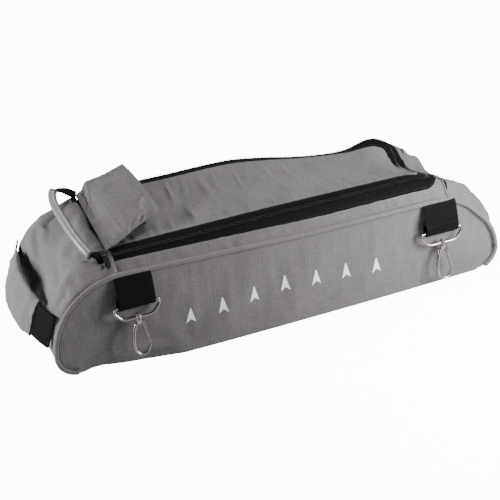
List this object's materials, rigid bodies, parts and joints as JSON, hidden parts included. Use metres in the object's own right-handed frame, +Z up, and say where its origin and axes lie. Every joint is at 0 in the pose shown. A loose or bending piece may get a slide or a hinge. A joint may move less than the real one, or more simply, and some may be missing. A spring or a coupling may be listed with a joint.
{
  "type": "clip-on bowling shoe bag",
  "caption": "Long soft zipped shoe bag with piped panels, a hinged lid, carry handles and swivel snap hooks that clip it on top of a wheeled ball tote.",
  "frame": {"origin": "centre of the front panel's base line carried to the middle of the base, on the base's underside", "axes": "+X along the bag toward the end without a handle, -Y toward the front panel, +Z up"},
  "size_m": [0.629, 0.2182, 0.1794],
  "materials": {
    "grey_polyester": "heathered woven polyester",
    "grey_piping": "woven, corded",
    "zip_tape": "woven",
    "zip_coil": "matte",
    "black_webbing": "ribbed weave",
    "grip_rubber": "satin",
    "stiffener": "matte",
    "hook_and_loop": "fuzzy",
    "nickel": "polished nickel plate"
  },
  "bodies": {
    "root": {"front_panel": "grey_polyester", "back_panel": "grey_polyester", "front_piping": "grey_piping", "back_piping": "grey_piping", "base_panel": "grey_polyester", "base_board": "stiffener", "left_gusset": "grey_polyester", "right_gusset": "grey_polyester", "front_top_strip": "grey_polyester", "back_top_strip": "grey_polyester", "right_seam_piping": "grey_piping", "zip_tape_body": "zip_tape", "zip_coil_body": "zip_coil"},
    "lid": {"lid_panel": "grey_polyester", "zip_tape_lid": "zip_tape", "zip_coil_lid": "zip_coil", "lid_loop_patch": "hook_and_loop"},
    "flap": {"flap_panel": "grey_polyester", "flap_hook_patch": "hook_and_loop"},
    "grab_handle": {"grab_webbing": "black_webbing", "grab_grip": "grip_rubber"},
    "end_handle": {"end_webbing": "black_webbing", "end_wrap": "grey_polyester"},
    "slider": {"zip_slider": "nickel"},
    "pull": {"zip_pull": "nickel"},
    "front_left_strap": {"front_left_strap": "black_webbing"},
    "front_left_loop": {"front_left_loop": "nickel"},
    "front_left_hook": {"front_left_hook": "nickel", "front_left_gate_pin": "nickel"},
    "front_left_gate": {"front_left_gate": "nickel"},
    "front_right_strap": {"front_right_strap": "black_webbing"},
    "front_right_loop": {"front_right_loop": "nickel"},
    "front_right_hook": {"front_right_hook": "nickel", "front_right_gate_pin": "nickel"},
    "front_right_gate": {"front_right_gate": "nickel"},
    "back_left_strap": {"back_left_strap": "black_webbing"},
    "back_left_loop": {"back_left_loop": "nickel"},
    "back_left_hook": {"back_left_hook": "nickel", "back_left_gate_pin": "nickel"},
    "back_left_gate": {"back_left_gate": "nickel"},
    "back_right_strap": {"back_right_strap": "black_webbing"},
    "back_right_loop": {"back_right_loop": "nickel"},
    "back_right_hook": {"back_right_hook": "nickel", "back_right_gate_pin": "nickel"},
    "back_right_gate": {"back_right_gate": "nickel"}
  },
  "joints": [
    {"name": "lid_hinge", "type": "hinge", "parent": "root", "child": "lid", "pos_m": [-0.213, -0.054, 0.13801], "axis": [0, -0.9815, -0.1913], "range_deg": [0, 85]},
    {"name": "flap_lift", "type": "hinge", "parent": "lid", "child": "flap", "pos_m": [-0.209, -0.054, 0.14101], "axis": [0, 0.9815, 0.1913], "range_deg": [-55, 0]},
    {"name": "grab_handle_swing", "type": "hinge", "parent": "root", "child": "grab_handle", "pos_m": [-0.229, -0.0525, 0.1418], "axis": [-0.0851, -0.9806, -0.1764], "range_deg": [-75, 0]},
    {"name": "end_handle_swing", "type": "hinge", "parent": "root", "child": "end_handle", "pos_m": [-0.2925, -0.076, 0.088], "axis": [0.0168, 0.9888, 0.148], "range_deg": [0, 40]},
    {"name": "zip_slide", "type": "slide", "parent": "root", "child": "slider", "axis": [1, 0, 0], "range_m": [0, 0.385]},
    {"name": "pull_swing", "type": "hinge", "parent": "slider", "child": "pull", "pos_m": [-0.2225, -0.0602, 0.1422], "axis": [-1, 0, 0], "range_deg": [0, 120]},
    {"name": "front_left_strap_swing", "type": "hinge", "parent": "root", "child": "front_left_strap", "pos_m": [-0.197, -0.0778, 0.11839], "axis": [-1, 0, 0], "range_deg": [0, 100]},
    {"name": "front_left_loop_swing", "type": "hinge", "parent": "front_left_strap", "child": "front_left_loop", "pos_m": [-0.197, -0.0865, 0.08528], "axis": [-1, 0, 0], "range_deg": [0, 70]},
    {"name": "front_left_hook_swivel", "type": "hinge", "parent": "front_left_loop", "child": "front_left_hook", "pos_m": [-0.197, -0.09144, 0.07006], "axis": [0, 0.309, 0.9511], "continuous": true},
    {"name": "front_left_gate_open", "type": "hinge", "parent": "front_left_hook", "child": "front_left_gate", "pos_m": [-0.1921, -0.09447, 0.06074], "axis": [0, 0.9511, -0.309], "range_deg": [0, 20], "stiffness_Nm_per_rad": 0.02, "springref_deg": -5.73},
    {"name": "front_right_strap_swing", "type": "hinge", "parent": "root", "child": "front_right_strap", "pos_m": [0.214, -0.0793, 0.10772], "axis": [-1, 0, 0], "range_deg": [0, 100]},
    {"name": "front_right_loop_swing", "type": "hinge", "parent": "front_right_strap", "child": "front_right_loop", "pos_m": [0.214, -0.088, 0.07461], "axis": [-1, 0, 0], "range_deg": [0, 70]},
    {"name": "front_right_hook_swivel", "type": "hinge", "parent": "front_right_loop", "child": "front_right_hook", "pos_m": [0.214, -0.09294, 0.05939], "axis": [0, 0.309, 0.9511], "continuous": true},
    {"name": "front_right_gate_open", "type": "hinge", "parent": "front_right_hook", "child": "front_right_gate", "pos_m": [0.2189, -0.09597, 0.05007], "axis": [0, 0.9511, -0.309], "range_deg": [0, 20], "stiffness_Nm_per_rad": 0.02, "springref_deg": -5.73},
    {"name": "back_left_strap_swing", "type": "hinge", "parent": "root", "child": "back_left_strap", "pos_m": [-0.17927, 0.0778, 0.11839], "axis": [1, 0, 0], "range_deg": [0, 100]},
    {"name": "back_left_loop_swing", "type": "hinge", "parent": "back_left_strap", "child": "back_left_loop", "pos_m": [-0.17927, 0.0865, 0.08528], "axis": [1, 0, 0], "range_deg": [0, 70]},
    {"name": "back_left_hook_swivel", "type": "hinge", "parent": "back_left_loop", "child": "back_left_hook", "pos_m": [-0.17927, 0.09144, 0.07006], "axis": [0, -0.309, 0.9511], "continuous": true},
    {"name": "back_left_gate_open", "type": "hinge", "parent": "back_left_hook", "child": "back_left_gate", "pos_m": [-0.18417, 0.09447, 0.06074], "axis": [0, -0.9511, -0.309], "range_deg": [0, 20], "stiffness_Nm_per_rad": 0.02, "springref_deg": -5.73},
    {"name": "back_right_strap_swing", "type": "hinge", "parent": "root", "child": "back_right_strap", "pos_m": [0.19474, 0.0793, 0.10772], "axis": [1, 0, 0], "range_deg": [0, 100]},
    {"name": "back_right_loop_swing", "type": "hinge", "parent": "back_right_strap", "child": "back_right_loop", "pos_m": [0.19474, 0.088, 0.07461], "axis": [1, 0, 0], "range_deg": [0, 70]},
    {"name": "back_right_hook_swivel", "type": "hinge", "parent": "back_right_loop", "child": "back_right_hook", "pos_m": [0.19474, 0.09294, 0.05939], "axis": [0, -0.309, 0.9511], "continuous": true},
    {"name": "back_right_gate_open", "type": "hinge", "parent": "back_right_hook", "child": "back_right_gate", "pos_m": [0.18984, 0.09597, 0.05007], "axis": [0, -0.9511, -0.309], "range_deg": [0, 20], "stiffness_Nm_per_rad": 0.02, "springref_deg": -5.73}
  ]
}
